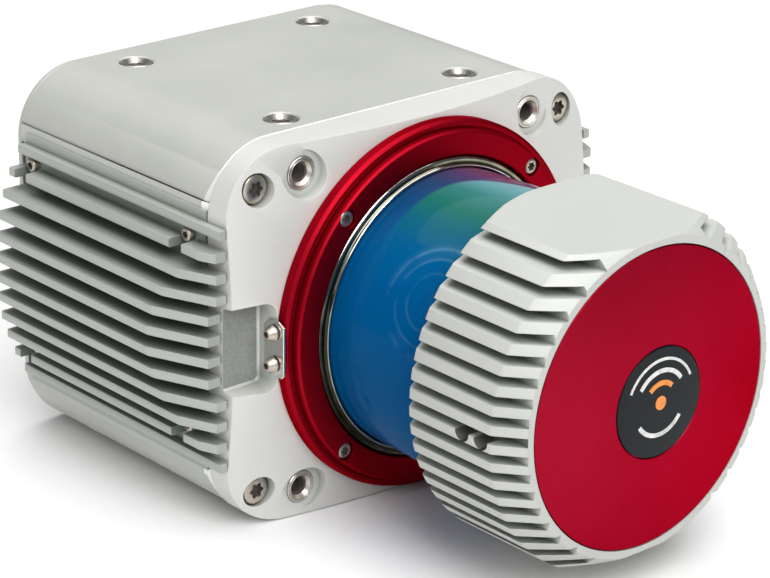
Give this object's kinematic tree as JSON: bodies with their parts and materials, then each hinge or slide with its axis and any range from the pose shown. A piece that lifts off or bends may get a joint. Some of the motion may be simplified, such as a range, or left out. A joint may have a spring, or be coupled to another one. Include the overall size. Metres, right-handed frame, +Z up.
{
  "type": "airborne laser scanner",
  "caption": "Compact box-shaped airborne laser scanner with side cooling fins, a red clamp ring around a blue tubular scan window and a finned cylindrical end cap with a red disc.",
  "frame": {"origin": "centre of the bounding box footprint, on the flat underside of the body", "axes": "+Z up; the scan axis runs along Y with the end cap towards -Y and the connectors towards +Y; +X to the right seen from the end cap"},
  "size_m": [0.1772, 0.2322, 0.125],
  "materials": {
    "body_aluminium": "fine bead-blasted, clear anodised",
    "face_aluminium": "fine bead-blasted, clear anodised, slightly lighter",
    "steel": "turned stainless steel",
    "bright_steel": "polished",
    "red_anodised": "satin red anodised",
    "coated_glass": "blue multi-layer optical coating",
    "mirror": "front-surface mirror",
    "black_rubber": "matt elastomer",
    "badge": "dark satin badge",
    "black_metal": "black anodised",
    "copper_gold": "copper windings and gold-plated contacts",
    "circuit_board": "green solder mask"
  },
  "bodies": {
    "scanner_body": {"antenna_port": "copper_gold", "bearing_front": "steel", "bearing_rear": "steel", "cap_seal": "black_rubber", "clip_screw_lower": "steel", "clip_screw_upper": "steel", "connector_data": "black_metal", "connector_power": "black_metal", "detector_board": "circuit_board", "end_cap_badge": "badge", "end_cap_disc": "red_anodised", "end_cap_housing": "face_aluminium", "front_insert_bl": "steel", "front_insert_br": "steel", "front_insert_tl": "steel", "front_insert_tr": "steel", "front_plate": "face_aluminium", "front_plate_screw_bl": "steel", "front_plate_screw_br": "steel", "front_plate_screw_tl": "steel", "front_plate_screw_tr": "steel", "heat_sink_left": "body_aluminium", "heat_sink_right": "body_aluminium", "heat_sink_screw_left_bottom_front": "steel", "heat_sink_screw_left_bottom_rear": "steel", "heat_sink_screw_left_top_front": "steel", "heat_sink_screw_left_top_rear": "steel", "heat_sink_screw_right_bottom_front": "steel", "heat_sink_screw_right_bottom_rear": "steel", "heat_sink_screw_right_top_front": "steel", "heat_sink_screw_right_top_rear": "steel", "laser_module": "black_metal", "main_board": "circuit_board", "main_housing": "body_aluminium", "motor_housing": "black_metal", "motor_stator": "copper_gold", "power_board": "circuit_board", "rear_cover": "body_aluminium", "rear_gasket": "black_rubber", "receiver_lens": "coated_glass", "receiver_tube": "black_metal", "ring_lock_clip": "bright_steel", "ring_screw_bl": "steel", "ring_screw_br": "steel", "ring_screw_tl": "steel", "ring_screw_tr": "steel", "scan_window": "coated_glass", "top_insert_front_left": "steel", "top_insert_front_right": "steel", "top_insert_rear_left": "steel", "top_insert_rear_right": "steel", "window_rim": "bright_steel", "window_ring": "red_anodised", "window_seal": "black_rubber"},
    "scan_rotor": {"motor_magnet": "black_metal", "motor_shaft": "steel", "encoder_disc": "coated_glass", "mirror_hub": "body_aluminium", "mirror_body": "body_aluminium", "scan_mirror": "mirror"}
  },
  "joints": [
    {"name": "scan_spin", "type": "hinge", "parent": "scanner_body", "child": "scan_rotor", "pos_m": [0, -0.07093, 0.0625], "axis": [0, 1, 0], "continuous": true}
  ]
}
